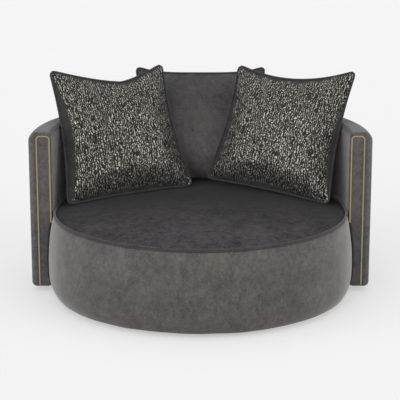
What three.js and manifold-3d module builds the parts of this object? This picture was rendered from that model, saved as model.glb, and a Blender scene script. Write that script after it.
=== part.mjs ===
// Cuddle chair: a round upholstered seat drum held in a curved arm and back shell,
// with one loose back cushion and two loose scatter cushions.
// Millimetres, Z up, the front of the chair faces -Y.
import * as THREE from "three";
import { mergeVertices } from "three/addons/utils/BufferGeometryUtils.js";
import Module from "manifold-3d";

const wasm = await Module();
wasm.setup();

// Materials and clearances shared by every piece
const gap = 0.3; // left between pieces that touch
const restGap = 0.4; // left under and behind a loose cushion
const fabric = 2.5; // upholstery velvet with its backing
const board = 4; // bent hardboard
const ply = 18; // plywood rings and rails
const timber = 45; // side of a square post

// Seat drum
const drumBulgeRadius = 669; // the size that the whole chair follows
const drumBottom = 17;
const drumBulgeHeight = 132;
const footDrawIn = 24; // the foot and the top edge lie this far inside the bulge
const topDrawIn = 25.5;
const drumFootRadius = drumBulgeRadius - footDrawIn;
const drumTopRadius = drumBulgeRadius - topDrawIn;
const weltHeight = 367;
const weltThickness = 11;
const seatCrown = 40;
const foamDepth = 77; // from the webbing up to the welt's centre
const wallTopDrop = 6; // the wall cover ends this far under the welt's centre
const tuckWidth = 46; // cover turned in under the drum
const wallFoam = 50;
const bottomRingWidth = 109.5;
const topRingWidth = 94.5;
const glideInset = 50; // from the bottom ring's inner edge
const strapSpacing = 300;

// Arm and back shell
const shellSetOff = 4.5; // from the drum's top edge out to the shell's inner face
const shellWidth = 100;
const shellInnerRadius = drumTopRadius + shellSetOff;
const shellOuterRadius = shellInnerRadius + shellWidth;
const shellBottom = 22;
const shellTop = 721;
const shellFootRound = 22;
const shellOuterRound = 40;
const shellInnerRound = 16;
const shellTuck = 48;
const shellPadding = 12;
const shellTopPadding = 46;
const armFrontReach = 24; // how far the arm fronts stand before the drum's axis
const armFrontRound = 8;
const drumClearance = 4; // between the drum's bulge and the shell around it

// Trim on the arm fronts
const trimWidth = 5.5;
const trimThickness = 3;
const trimOuterInset = 35;
const trimInnerInset = 9.5;
const trimTopInset = 18;
const trimCornerRadius = 15;
const trimClearance = 1.5; // from the inner leg's end to the drum's swell

// Cushions
const cushionWidthShare = 0.8968; // of the drum's bulge radius
const cushionWidth = cushionWidthShare * drumBulgeRadius;
const cushionThickness = 172;
const backHeightShare = 0.88; // of the width; it has settled more than the others
const sidePull = 22; // the sides are drawn in this far between the corners
const footPull = 10; // the lower edge follows the seat's crown
const cornerCut = 10;
const seamAllowance = 9;
const seamLip = 2;
const pipingThickness = 9;
const pipingGap = 0.7;

// How finely round forms are divided, and how finely a cushion's way down is searched
const turns = 56;
const pillowCells = 10;
const pipeSides = 6;
const cornerSteps = 3;
const settleSteps = 15;

const { PI, abs, cos, hypot, max, min, sign, sin, sqrt } = Math;
const degrees = PI / 180;
const point = (x, y) => new THREE.Vector2(x, y);

const looks = {
  velvet: { color: 0x67625f, roughness: 0.85, metalness: 0 },
  pattern: { color: 0x5b5852, roughness: 0.7, metalness: 0 },
  wadding: { color: 0xe4e0d4, roughness: 0.95, metalness: 0 },
  fibre: { color: 0xf0ede6, roughness: 0.95, metalness: 0 },
  plywood: { color: 0xc2a173, roughness: 0.7, metalness: 0 },
  pine: { color: 0xd2b284, roughness: 0.75, metalness: 0 },
  hardboard: { color: 0x7d5c3d, roughness: 0.8, metalness: 0 },
  webbing: { color: 0x2c2a28, roughness: 0.9, metalness: 0 },
  lining: { color: 0x1f1e1e, roughness: 0.95, metalness: 0 },
  brass: { color: 0xa89262, roughness: 0.3, metalness: 1 },
  steel: { color: 0x8f9296, roughness: 0.4, metalness: 1 },
  plastic: { color: 0x1a1a1a, roughness: 0.6, metalness: 0 },
};

const chair = new THREE.Group();

function addPiece(parent, name, geometry, look) {
  const mesh = new THREE.Mesh(geometry, new THREE.MeshStandardMaterial(looks[look]));
  mesh.name = name;
  parent.add(mesh);
  return mesh;
}

// Moves a line to its left by a distance, with mitred corners.
function offsetLine(line, distance) {
  return line.map((here, i) => {
    const before = i > 0 ? here.clone().sub(line[i - 1]).normalize() : null;
    const after = i < line.length - 1 ? line[i + 1].clone().sub(here).normalize() : null;
    const first = before ?? after;
    const second = after ?? before;
    const normal = point(-first.y - second.y, first.x + second.x).normalize();
    const reach = distance / (normal.x * -first.y + normal.y * first.x);
    return point(max(0, here.x + normal.x * reach), here.y + normal.y * reach);
  });
}

// The closed section of a skin whose outer face is the line.
function skinSection(line, thickness) {
  return [...line, ...offsetLine(line, thickness).reverse()];
}

// An arc from one angle to another, both ends included.
function arcPoints(centre, radius, from, to, steps = cornerSteps) {
  return Array.from({ length: steps + 1 }, (_, i) => {
    const angle = from + ((to - from) * i) / steps;
    return point(centre.x + radius * cos(angle), centre.y + radius * sin(angle));
  });
}

// Turns a closed section (radius, height) about the Z axis; a part turn gets flat ends.
function revolve(section, from = 0, to = 2 * PI) {
  const outline = THREE.ShapeUtils.area(section) < 0 ? [...section].reverse() : section;
  const whole = to - from >= 2 * PI;
  const steps = Math.round((turns * (to - from)) / (2 * PI));
  const corners = [];
  const place = (j, i) => {
    const { x: radius, y: height } = outline[j % outline.length];
    const angle = from + ((to - from) * (whole ? i % steps : i)) / steps;
    return [radius * cos(angle), radius * sin(angle), height];
  };
  const same = (a, b) => a.every((value, k) => value === b[k]);
  const face = (a, b, c) => {
    if (!same(a, b) && !same(b, c) && !same(a, c)) corners.push(...a, ...b, ...c);
  };
  for (let i = 0; i < steps; i++) {
    for (let j = 0; j < outline.length; j++) {
      face(place(j, i), place(j, i + 1), place(j + 1, i + 1));
      face(place(j, i), place(j + 1, i + 1), place(j + 1, i));
    }
  }
  if (!whole) {
    for (const [a, b, c] of THREE.ShapeUtils.triangulateShape(outline, [])) {
      face(place(a, 0), place(b, 0), place(c, 0));
      face(place(a, steps), place(c, steps), place(b, steps));
    }
  }
  const geometry = new THREE.BufferGeometry();
  geometry.setAttribute("position", new THREE.Float32BufferAttribute(corners, 3));
  return geometry;
}

function ringSection(innerRadius, outerRadius, bottom, top) {
  return [
    point(innerRadius, bottom),
    point(outerRadius, bottom),
    point(outerRadius, top),
    point(innerRadius, top),
  ];
}

// A block with its centre at (x, y), standing from bottom to top.
function block(width, depth, bottom, top, x = 0, y = 0) {
  return new THREE.BoxGeometry(width, depth, top - bottom).translate(x, y, (top + bottom) / 2);
}

// A plate in the XZ plane between two places on the Y axis.
function plate(outline, front, back, bevel = 0) {
  const geometry = new THREE.ExtrudeGeometry(new THREE.Shape(outline), {
    depth: back - front - 2 * bevel,
    bevelEnabled: bevel > 0,
    bevelSize: bevel,
    bevelThickness: bevel,
    bevelOffset: -bevel,
    bevelSegments: cornerSteps,
    steps: 1,
  });
  return geometry.rotateX(PI / 2).translate(0, back - bevel, 0);
}

function toSolid(geometry) {
  const bare = geometry.clone();
  bare.deleteAttribute("normal");
  bare.deleteAttribute("uv");
  const merged = mergeVertices(bare);
  return new wasm.Manifold(
    new wasm.Mesh({
      numProp: 3,
      vertProperties: merged.attributes.position.array,
      triVerts: new Uint32Array(merged.index.array),
    }),
  );
}

function toGeometry(solid) {
  const mesh = solid.getMesh();
  const geometry = new THREE.BufferGeometry();
  geometry.setAttribute("position", new THREE.BufferAttribute(mesh.vertProperties, 3));
  geometry.setIndex(new THREE.BufferAttribute(mesh.triVerts, 1));
  return geometry;
}

// Seat drum

// The wall swells to its widest low down and draws in fast at the foot.
const upperSwellPower = 2.2;
const lowerSwellPower = 3.4;
const wallTop = weltHeight - wallTopDrop;

function wallRadius(height) {
  const above = height > drumBulgeHeight;
  const end = above ? wallTop : drumBottom;
  const drawIn = above ? topDrawIn : footDrawIn;
  const share = (height - drumBulgeHeight) / (end - drumBulgeHeight);
  return drumBulgeRadius - drawIn * share ** (above ? upperSwellPower : lowerSwellPower);
}

// The height over the bulge at which the wall has drawn in to a radius.
function wallHeight(radius) {
  const share = min(1, (drumBulgeRadius - radius) / topDrawIn) ** (1 / upperSwellPower);
  return drumBulgeHeight + (wallTop - drumBulgeHeight) * share;
}

function wallLine(heightShares) {
  const wall = heightShares.map((share) => {
    const height = drumBottom + (wallTop - drumBottom) * share;
    return point(wallRadius(height), height);
  });
  return [point(drumFootRadius - tuckWidth, drumBottom), ...wall];
}

const fineShares = [0, 0.025, 0.1, 0.3, 0.5, 0.68, 0.85, 1];
const coarseShares = [0, 0.08, 0.36, 0.68, 1];

const ringBottom = drumBottom + fabric + gap;
const ringTop = ringBottom + ply;
const frameTop = weltHeight - foamDepth;
const ringRadius = drumTopRadius - 0.5 * wallFoam - board;
const boardRadius = ringRadius + gap;
const boardTop = frameTop + timber;

function wallCover() {
  const outside = wallLine(fineShares);
  const inside = offsetLine(wallLine(coarseShares), fabric);
  return revolve([...outside, ...inside.reverse()]);
}

function wallPadding() {
  const outside = offsetLine(wallLine(coarseShares), fabric + gap).slice(1);
  const inner = boardRadius + board + gap;
  outside[0] = point(outside[0].x, ringBottom);
  const [low, high] = outside.splice(-2);
  outside.push(low, low.clone().lerp(high, (boardTop - low.y) / (high.y - low.y)));
  return revolve([point(inner, ringBottom), ...outside, point(inner, boardTop)]);
}

// The top of the seat, from its edge to the middle.
const weltRadius = drumTopRadius + fabric - weltThickness / 2;
const seatEdgeRadius = weltRadius - weltThickness / 2 - gap;
const crownPower = 2.6;

function seatLine(radiusShares) {
  return radiusShares.map((share) => {
    const height = weltHeight + seatCrown * (1 - share ** crownPower);
    return point(seatEdgeRadius * share, height);
  });
}

const crownShares = [1, 0.975, 0.9, 0.76, 0.52, 0.26, 0];
const foamCrownShares = [1, 0.94, 0.68, 0];

function seatCover() {
  const outside = seatLine(crownShares);
  const inside = offsetLine(seatLine(foamCrownShares), fabric);
  inside[inside.length - 1] = point(0, weltHeight + seatCrown - fabric);
  inside[0] = point(seatEdgeRadius, weltHeight - fabric);
  return revolve([...outside, ...inside.reverse()]);
}

const webThickness = 2;
const webWidth = 70;
const webTop = frameTop + 2 * (webThickness + gap);

function seatFoam() {
  const outside = offsetLine(seatLine(foamCrownShares), fabric + gap);
  outside[0] = point(seatEdgeRadius, weltHeight - fabric - gap);
  outside[outside.length - 1] = point(0, weltHeight + seatCrown - fabric - gap);
  const side = boardTop + gap;
  const foot = webTop + gap;
  const footRadius = boardRadius - gap;
  const rimRadius = drumTopRadius - fabric - gap;
  return revolve([
    point(0, foot),
    point(footRadius, foot),
    point(footRadius, side),
    point(rimRadius, side),
    point(rimRadius, weltHeight - weltThickness),
    ...outside,
  ]);
}

function welt() {
  const round = arcPoints(point(weltRadius, weltHeight), weltThickness / 2, 0, 2 * PI, pipeSides);
  return revolve(round.slice(0, -1));
}

const ringInnerRadius = ringRadius - bottomRingWidth;
const topRingInnerRadius = ringRadius - topRingWidth;

function drumPosts() {
  const names = ["right", "back", "left", "front"];
  const reach = ringRadius - timber;
  names.forEach((name, i) => {
    const post = block(timber, timber, ringTop + gap, frameTop - ply - gap, reach).rotateZ((i * PI) / 2);
    addPiece(chair, `drum_post_${name}`, post, "pine");
  });
  const beamLength = 2 * (reach - timber / 2 - gap);
  const beamTop = frameTop - ply - timber / 2;
  const beam = block(beamLength, timber, beamTop - 1.5 * timber, beamTop);
  addPiece(chair, "drum_cross_beam", beam, "pine");
}

// Elastic webbing: three straps from side to side, and two over them from front to back.
function seatWebbing() {
  const crosswise = [-1, 0, 1];
  const lengthwise = [-0.5, 0.5];
  const holdRadius = ringRadius - 2 * webThickness;
  const reach = (offset) => 2 * sqrt(holdRadius ** 2 - (abs(offset) + webWidth / 2) ** 2);
  const lowerBottom = frameTop + gap;
  const upperBottom = lowerBottom + webThickness + gap;
  crosswise.forEach((share, i) => {
    const offset = share * strapSpacing;
    const strap = block(reach(offset), webWidth, lowerBottom, lowerBottom + webThickness, 0, offset);
    addPiece(chair, `seat_strap_cross_${i + 1}`, strap, "webbing");
  });
  lengthwise.forEach((share, i) => {
    const offset = share * strapSpacing;
    const strap = block(webWidth, reach(offset), upperBottom, upperBottom + webThickness, offset, 0);
    addPiece(chair, `seat_strap_long_${i + 1}`, strap, "webbing");
  });
}

const glideRadius = 22;
const glideTipRadius = 17;
const glideCircle = ringInnerRadius + glideInset;
const glideCount = 4;

function glides() {
  const top = ringBottom - gap;
  const section = [
    point(0, 0),
    point(glideTipRadius, 0),
    point(glideRadius, top / 3),
    point(glideRadius, top),
    point(0, top),
  ];
  for (let i = 0; i < glideCount; i++) {
    const angle = ((i + 0.5) * 2 * PI) / glideCount;
    const glide = new THREE.LatheGeometry(section, turns / 4).rotateX(PI / 2);
    glide.translate(glideCircle * cos(angle), glideCircle * sin(angle), 0);
    addPiece(chair, `glide_${i + 1}`, glide, "plastic");
  }
}

function seatDrum() {
  const bottomRing = ringSection(ringInnerRadius, ringRadius, ringBottom, ringTop);
  const topRing = ringSection(topRingInnerRadius, ringRadius, frameTop - ply, frameTop);
  const wallBoard = ringSection(boardRadius, boardRadius + board, ringBottom, boardTop);
  addPiece(chair, "drum_bottom_ring", revolve(bottomRing), "plywood");
  addPiece(chair, "drum_top_ring", revolve(topRing), "plywood");
  addPiece(chair, "drum_wall_board", revolve(wallBoard), "hardboard");
  addPiece(chair, "drum_wall_padding", wallPadding(), "wadding");
  addPiece(chair, "drum_wall_cover", wallCover(), "velvet");
  addPiece(chair, "seat_foam", seatFoam(), "wadding");
  addPiece(chair, "seat_cover", seatCover(), "velvet");
  addPiece(chair, "seat_welt", welt(), "velvet");
  const lining = ringSection(0, ringInnerRadius + ply, drumBottom, drumBottom + fabric);
  addPiece(chair, "drum_dust_cover", revolve(lining), "lining");
  drumPosts();
  seatWebbing();
  glides();
}

// Arm and back shell

// The section's outer face: under the foot, up the outside, over the top to the seam.
const seamDrop = shellInnerRound;
const topFoot = point(shellInnerRadius + shellInnerRound, shellTop - shellInnerRound);

function outerCoverLine() {
  const foot = point(shellOuterRadius - shellFootRound, shellBottom + shellFootRound);
  const brow = point(shellOuterRadius - shellOuterRound, shellTop - shellOuterRound);
  return [
    point(shellOuterRadius - shellTuck, shellBottom),
    ...arcPoints(foot, shellFootRound, -PI / 2, 0),
    ...arcPoints(brow, shellOuterRound, 0, PI / 2),
    ...arcPoints(topFoot, shellInnerRound, PI / 2, PI, 2),
  ];
}

function innerCoverLine() {
  const bottom = wallTop + drumClearance;
  return [
    point(shellInnerRadius, shellTop - seamDrop - fabric / 2),
    point(shellInnerRadius, bottom),
    point(shellInnerRadius + shellPadding, bottom),
  ];
}

const innerBoardRadius = drumBulgeRadius + drumClearance;
const railInner = innerBoardRadius + board + gap;
const outerBoardRadius = shellOuterRadius - fabric - shellPadding - board - 2 * gap;
const railOuter = outerBoardRadius - gap;
const railBottom = shellBottom + board;
const railTop = shellTop - shellTopPadding;

function halfRing(inner, outer, bottom, top) {
  return revolve(ringSection(inner, outer, bottom, top), 0, PI);
}

function shellPaddings() {
  const outside = offsetLine(outerCoverLine(), fabric + gap);
  const boardFace = outerBoardRadius + board + gap;
  const faceRadius = shellOuterRadius - fabric - gap;
  const side = [
    point(boardFace, railBottom + board),
    ...outside.slice(2, 5),
    point(faceRadius, railTop),
    point(boardFace, railTop),
  ];
  addPiece(chair, "shell_outer_padding", revolve(side, 0, PI), "wadding");
  const innerFace = shellInnerRadius + fabric + gap;
  const top = [
    point(innerFace, railTop + gap),
    point(faceRadius, railTop + gap),
    ...outside.slice(5, -1),
    point(innerFace, shellTop - seamDrop - gap),
  ];
  addPiece(chair, "shell_top_padding", revolve(top, 0, PI), "wadding");
  const lowEnd = wallTop + drumClearance + fabric + gap;
  const inner = halfRing(innerFace, innerBoardRadius - gap, lowEnd, railTop);
  addPiece(chair, "shell_inner_padding", inner, "wadding");
}

function shellFrame() {
  const innerBoard = halfRing(innerBoardRadius, innerBoardRadius + board, railBottom, railTop);
  addPiece(chair, "shell_inner_board", innerBoard, "hardboard");
  const outerBoard = halfRing(outerBoardRadius, outerBoardRadius + board, railBottom + board, railTop);
  addPiece(chair, "shell_outer_board", outerBoard, "hardboard");
  const bottomRail = halfRing(railInner, railOuter, railBottom, railBottom + ply);
  addPiece(chair, "shell_bottom_rail", bottomRail, "plywood");
  addPiece(chair, "shell_top_rail", halfRing(railInner, railOuter, railTop - ply, railTop), "plywood");
  const uprightCount = 5;
  const uprightDepth = railOuter - railInner - board;
  const endShare = 0.06;
  for (let i = 0; i < uprightCount; i++) {
    const share = endShare + ((1 - 2 * endShare) * i) / (uprightCount - 1);
    const bottom = railBottom + ply + gap;
    const upright = block(uprightDepth, timber, bottom, railTop - ply - gap, (railInner + railOuter) / 2);
    addPiece(chair, `shell_upright_${i + 1}`, upright.rotateZ(share * PI), "pine");
  }
}

// Joggled steel plates tie the shell's bottom rail to the drum's bottom ring.
const linkThickness = 4;
const linkWidth = 50;
const linkTurnDegrees = 12; // the side plates stand this far behind the arms' ends

function linkPlates() {
  const drumFace = ringBottom - gap - linkThickness;
  const underFace = drumBottom - 2 * gap - linkThickness;
  const shellFace = railBottom - gap - linkThickness;
  const inner = ringRadius - tuckWidth - timber;
  const firstBend = drumFootRadius - tuckWidth - linkThickness;
  const secondBend = innerBoardRadius - linkThickness;
  const end = shellOuterRadius - shellTuck - linkThickness;
  const lowerLine = [
    point(inner, drumFace),
    point(firstBend - linkThickness, drumFace),
    point(firstBend, underFace),
    point(secondBend, underFace),
    point(secondBend + linkThickness, shellFace),
    point(end, shellFace),
  ];
  const names = ["right", "back", "left"];
  names.forEach((name, i) => {
    const outline = skinSection(lowerLine, linkThickness);
    const link = plate(outline, -linkWidth / 2, linkWidth / 2);
    const turn = (i * PI) / 2 + (1 - i) * linkTurnDegrees * degrees;
    addPiece(chair, `link_plate_${name}`, link.rotateZ(turn), "steel");
  });
}

// The arm's front face: the shell's section, its inner side following the drum's swell.
function armFrontOutline() {
  const inside = [0.96, 0.8, 0.6, 0.4, 0.18, 0.06].map((share) => {
    const height = shellBottom + (wallTop - shellBottom) * share;
    return point(wallRadius(height) + drumClearance, height);
  });
  return [
    point(shellInnerRadius + shellPadding + shellInnerRound, shellBottom),
    ...outerCoverLine().slice(1),
    point(shellInnerRadius, wallTop + drumClearance),
    ...inside,
  ];
}

function insetOutline(outline, distance) {
  const closed = [outline.at(-1), ...outline, outline[0]];
  return offsetLine(closed, distance).slice(1, -1);
}

function armTrimOutline() {
  const outer = shellOuterRadius - trimOuterInset;
  const inner = shellInnerRadius + trimInnerInset;
  const top = shellTop - trimTopInset;
  const radius = trimCornerRadius;
  const innerEdge = inner - trimWidth / 2;
  const centreLine = [
    point(outer, shellBottom + armFrontRound),
    ...arcPoints(point(outer - radius, top - radius), radius, 0, PI / 2, 2 * cornerSteps),
    ...arcPoints(point(inner + radius, top - radius), radius, PI / 2, PI, 2 * cornerSteps),
    point(inner, wallHeight(innerEdge - trimClearance)),
  ];
  return [...offsetLine(centreLine, -trimWidth / 2), ...offsetLine(centreLine, trimWidth / 2).reverse()];
}

// A plate whose front edge is rounded and whose back is flat.
function roundedFront(outline, front, back) {
  const long = toSolid(plate(outline, front, back + 2 * armFrontRound, armFrontRound));
  const width = 4 * shellOuterRadius;
  const behind = block(width, 4 * armFrontRound, -width, width, 0, back + 2 * armFrontRound);
  return long.subtract(toSolid(behind));
}

function armFronts() {
  const outline = armFrontOutline();
  const padFront = -armFrontReach + fabric + gap;
  const padOutline = insetOutline(outline, fabric + gap);
  const outerForm = roundedFront(outline, -armFrontReach, -gap);
  const hollow = roundedFront(insetOutline(outline, fabric), padFront - gap, gap);
  const cover = toGeometry(outerForm.subtract(hollow));
  const pad = toGeometry(roundedFront(padOutline, padFront, -gap));
  const trim = plate(armTrimOutline(), -armFrontReach - gap - trimThickness, -armFrontReach - gap);
  for (const [side, turn] of [["right", 1], ["left", -1]]) {
    const arm = new THREE.Group();
    arm.scale.x = turn;
    addPiece(arm, `arm_front_cover_${side}`, cover, "velvet");
    addPiece(arm, `arm_front_pad_${side}`, pad, "plywood");
    addPiece(arm, `arm_trim_${side}`, trim, "brass");
    chair.add(arm);
  }
}

function outerCover() {
  return revolve(skinSection(outerCoverLine(), fabric), 0, PI);
}

function innerCover() {
  return revolve(skinSection(innerCoverLine(), fabric), 0, PI);
}

function armShell() {
  shellFrame();
  shellPaddings();
  addPiece(chair, "shell_outer_cover", outerCover(), "velvet");
  addPiece(chair, "shell_inner_cover", innerCover(), "velvet");
  linkPlates();
  armFronts();
}

// Cushions

const fullness = 0.42;
const cornerPower = 29;

// A place on a cushion's face; u and v run from -1 to 1 across and up it.
function pillowPoint(u, v, form, inset, swell) {
  const upShare = (1 + v) / 2;
  const halfWidth = cushionWidth * (1 / 2 - form.narrowShare * upShare) - inset;
  const halfHeight = form.height / 2 - inset;
  const corner = cornerCut * abs(u * v) ** cornerPower;
  const sunk = (form.slumpShare * cushionWidth * upShare * (1 + u * form.innerSide)) / 2;
  const lowest = form.sagPlaceShare;
  const fromSag = (u - lowest) / (1 - sign(u - lowest) * lowest);
  const sag = form.sagShare * cushionWidth * (1 - abs(fromSag) ** form.sagPower);
  const pull = v > 0 ? sag : footPull * (1 - u * u);
  const x = u * (halfWidth - sidePull * abs(u) * (1 - v * v)) - sign(u) * corner;
  const z = v * (halfHeight - pull * abs(v)) - sign(v) * corner - sunk;
  const depth = swell * max(0, (1 - u * u) * (1 - v * v)) ** fullness;
  return [x, depth, form.height / 2 + z];
}

const cellShares = Array.from({ length: pillowCells + 1 }, (_, i) => {
  return sin((PI / 2) * ((2 * i) / pillowCells - 1));
});

// The cell places round the edge of a cushion, in order.
function edgeCells() {
  const last = pillowCells;
  const run = Array.from({ length: last }, (_, i) => i);
  return [
    ...run.map((i) => [i, 0]),
    ...run.map((i) => [last, i]),
    ...run.map((i) => [last - i, last]),
    ...run.map((i) => [0, last - i]),
  ];
}

// Joins two faces of the cushion grid, each a function of (i, j) and of how far out it lies.
function pillowShell(outerFace, innerFace, rims) {
  const corners = [];
  const quad = (a, b, c, d) => corners.push(...a, ...b, ...c, ...a, ...c, ...d);
  for (let i = 0; i < pillowCells; i++) {
    for (let j = 0; j < pillowCells; j++) {
      quad(outerFace(i, j), outerFace(i + 1, j), outerFace(i + 1, j + 1), outerFace(i, j + 1));
      quad(innerFace(i, j), innerFace(i, j + 1), innerFace(i + 1, j + 1), innerFace(i + 1, j));
    }
  }
  const loop = edgeCells();
  const layers = [outerFace, ...rims, innerFace];
  for (let k = 0; k < layers.length - 1; k++) {
    loop.forEach(([i, j], n) => {
      const [nextI, nextJ] = loop[(n + 1) % loop.length];
      quad(layers[k](nextI, nextJ), layers[k](i, j), layers[k + 1](i, j), layers[k + 1](nextI, nextJ));
    });
  }
  const geometry = new THREE.BufferGeometry();
  geometry.setAttribute("position", new THREE.Float32BufferAttribute(corners, 3));
  return geometry;
}

// One face of a cushion, towards -Y when the swell is positive.
function pillowFace(form, inset, start, swell) {
  return (i, j) => {
    const [x, depth, z] = pillowPoint(cellShares[i], cellShares[j], form, inset, swell);
    return [x, -start - depth, z];
  };
}

function coverHalf(form) {
  const swell = cushionThickness / 2 - seamLip;
  const outside = pillowFace(form, 0, gap / 2 + seamLip, swell);
  const lip = pillowFace(form, 0, gap / 2, 0);
  const inside = pillowFace(form, seamAllowance, gap / 2, swell + seamLip - fabric);
  return pillowShell(outside, inside, [lip]);
}

function filling(form) {
  const swell = cushionThickness / 2 - fabric - gap;
  const inset = seamAllowance + gap;
  return pillowShell(pillowFace(form, inset, 0, swell), pillowFace(form, inset, 0, -swell), []);
}

// A cord all round, set off square to the seam.
function piping(form) {
  const radius = pipingThickness / 2;
  const edge = pillowFace(form, 0, 0, 0);
  const seam = edgeCells().map(([i, j]) => edge(i, j));
  const corners = [];
  const place = (n, k) => {
    const here = seam[n % seam.length];
    const before = seam[(n + seam.length - 1) % seam.length];
    const after = seam[(n + 1) % seam.length];
    const along = [after[0] - before[0], after[2] - before[2]];
    const angle = (2 * PI * (k % pipeSides)) / pipeSides;
    const out = (pipingGap + radius * (1 + cos(angle))) / hypot(...along);
    return [here[0] + out * along[1], radius * sin(angle), here[2] - out * along[0]];
  };
  for (let n = 0; n < seam.length; n++) {
    for (let k = 0; k < pipeSides; k++) {
      corners.push(...place(n, k), ...place(n, k + 1), ...place(n + 1, k + 1));
      corners.push(...place(n, k), ...place(n + 1, k + 1), ...place(n + 1, k));
    }
  }
  const geometry = new THREE.BufferGeometry();
  geometry.setAttribute("position", new THREE.Float32BufferAttribute(corners, 3));
  return geometry;
}

// How far a solid goes along a direction before it nearly touches another.
function wayTo(solid, direction, reach, others) {
  let clear = 0;
  let blocked = reach;
  for (let i = 0; i < settleSteps; i++) {
    const middle = (clear + blocked) / 2;
    const moved = solid.translate(direction.clone().multiplyScalar(middle).toArray());
    const near = others.some((other) => moved.minGap(other, reach) < restGap);
    if (near) blocked = middle;
    else clear = middle;
  }
  return direction.clone().multiplyScalar(clear);
}

// A cushion stands on its lower edge on the seat, leant back, turned and rolled sideways,
// and is let down, pushed back and let down again until it rests.
function cushion(name, frontLook, form, pose, others) {
  const group = new THREE.Group();
  const front = coverHalf(form);
  const rope = piping(form);
  addPiece(group, `${name}_front_cover`, front, frontLook);
  const rear = addPiece(group, `${name}_rear_cover`, coverHalf(form), "velvet");
  rear.scale.y = -1;
  addPiece(group, `${name}_piping`, rope, "velvet");
  addPiece(group, `${name}_filling`, filling(form), "fibre");
  const seatTop = weltHeight + seatCrown;
  const turn = pose.turnDegrees * degrees;
  group.rotation.set(-pose.leanDegrees * degrees, pose.rollDegrees * degrees, turn, "ZXY");
  group.position.set(pose.acrossShare, pose.backShare, 0).multiplyScalar(seatEdgeRadius);
  group.position.z = seatTop + cushionThickness;
  group.updateMatrix();
  const half = toSolid(front);
  const whole = half.add(half.scale([1, -1, 1])).add(toSolid(rope)).transform(group.matrix.elements);
  const down = new THREE.Vector3(0, 0, -1);
  const back = new THREE.Vector3(-sin(turn), cos(turn), 0);
  const way = wayTo(whole, down, 2 * cushionThickness, others);
  way.z += restGap;
  way.add(wayTo(whole.translate(way.toArray()), back, 2 * cushionThickness, others));
  way.add(wayTo(whole.translate(way.toArray()), down, cushionThickness, others));
  group.position.add(way);
  chair.add(group);
  return whole.translate(way.toArray());
}

// Where each cushion starts from, in shares of the seat's radius, and how it is turned
const backPose = { acrossShare: 0, backShare: 0.68, leanDegrees: 15, turnDegrees: 0, rollDegrees: 0 };
const leftPose = {
  acrossShare: -0.475,
  backShare: 0.2,
  leanDegrees: 22,
  turnDegrees: 23.5,
  rollDegrees: -2.8,
};
const rightPose = {
  acrossShare: 0.453,
  backShare: 0.23,
  leanDegrees: 21,
  turnDegrees: -24.5,
  rollDegrees: 5.8,
};

// In shares of the width: how deep the top edge sags, how far each side draws in at the top,
// and how far the corner on the inner side has sunk. The sag's place runs from -1 to 1.
const backShape = {
  sagShare: 0.053,
  sagPower: 4,
  sagPlaceShare: 0,
  narrowShare: 0,
  slumpShare: 0,
  innerSide: 1,
};
const leftShape = {
  sagShare: 0.123,
  sagPower: 1.4,
  sagPlaceShare: 0.2,
  narrowShare: 0.055,
  slumpShare: 0.05,
  innerSide: 1,
};
const rightShape = {
  sagShare: 0.09,
  sagPower: 2,
  sagPlaceShare: 0,
  narrowShare: 0.038,
  slumpShare: 0.108,
  innerSide: -1,
};

function cushions() {
  const backForm = { height: backHeightShare * cushionWidth, ...backShape };
  const leftForm = { height: cushionWidth, ...leftShape };
  const rightForm = { height: cushionWidth, ...rightShape };
  const others = [seatCover(), welt(), outerCover(), innerCover()].map(toSolid);
  others.push(cushion("back_cushion", "velvet", backForm, backPose, others));
  others.push(cushion("scatter_cushion_left", "pattern", leftForm, leftPose, others));
  cushion("scatter_cushion_right", "pattern", rightForm, rightPose, others);
}

seatDrum();
armShell();
cushions();

// The frame's origin is on the floor under the middle of the whole chair.
const frontReach = drumBulgeRadius;
const backReach = shellOuterRadius;
chair.position.y = (frontReach - backReach) / 2;
const group = new THREE.Group();
group.add(chair);

export default group;
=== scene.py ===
"""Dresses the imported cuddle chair: velvet covers, welts, cushions, brass trims and the studio round it."""

import math

import bpy
from bpy.props import FloatProperty, FloatVectorProperty, PointerProperty
from bpy.types import Operator, Panel, PropertyGroup
from mathutils import Matrix, Vector, noise


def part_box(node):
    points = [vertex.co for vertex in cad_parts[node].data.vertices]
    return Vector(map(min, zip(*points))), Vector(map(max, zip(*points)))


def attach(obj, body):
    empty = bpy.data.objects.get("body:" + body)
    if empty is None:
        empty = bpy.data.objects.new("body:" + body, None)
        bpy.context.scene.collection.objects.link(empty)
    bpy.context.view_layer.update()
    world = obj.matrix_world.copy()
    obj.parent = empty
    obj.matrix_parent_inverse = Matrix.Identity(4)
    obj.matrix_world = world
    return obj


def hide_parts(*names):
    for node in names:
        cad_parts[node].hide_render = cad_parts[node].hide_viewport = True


bl_info = {
    "name": "Cuddle chair looks",
    "version": (1, 0, 0),
    "blender": (4, 5, 0),
    "location": "3D View > Sidebar > Chair",
    "description": "Models the chair's covers, cushions, trims and studio on its packed frame",
    "category": "Add Mesh",
}

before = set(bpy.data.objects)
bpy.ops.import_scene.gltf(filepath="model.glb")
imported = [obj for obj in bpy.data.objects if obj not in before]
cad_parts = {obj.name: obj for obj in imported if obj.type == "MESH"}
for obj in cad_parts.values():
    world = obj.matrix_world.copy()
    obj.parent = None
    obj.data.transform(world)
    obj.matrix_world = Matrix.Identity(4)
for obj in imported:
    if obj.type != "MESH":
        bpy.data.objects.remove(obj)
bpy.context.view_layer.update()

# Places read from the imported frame, in metres
wall_low, wall_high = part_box("drum_wall_cover")
shell_low, shell_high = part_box("shell_outer_cover")
board_low, board_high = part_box("drum_wall_board")
welt_low, welt_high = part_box("seat_welt")
DRUM_AXIS = Vector((0, (wall_low.y + wall_high.y) / 2, 0))
BULGE_RADIUS = (wall_high.x - wall_low.x) / 2
DRUM_BOTTOM = wall_low.z
WALL_TOP = wall_high.z
SHELL_BOTTOM = shell_low.z
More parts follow.
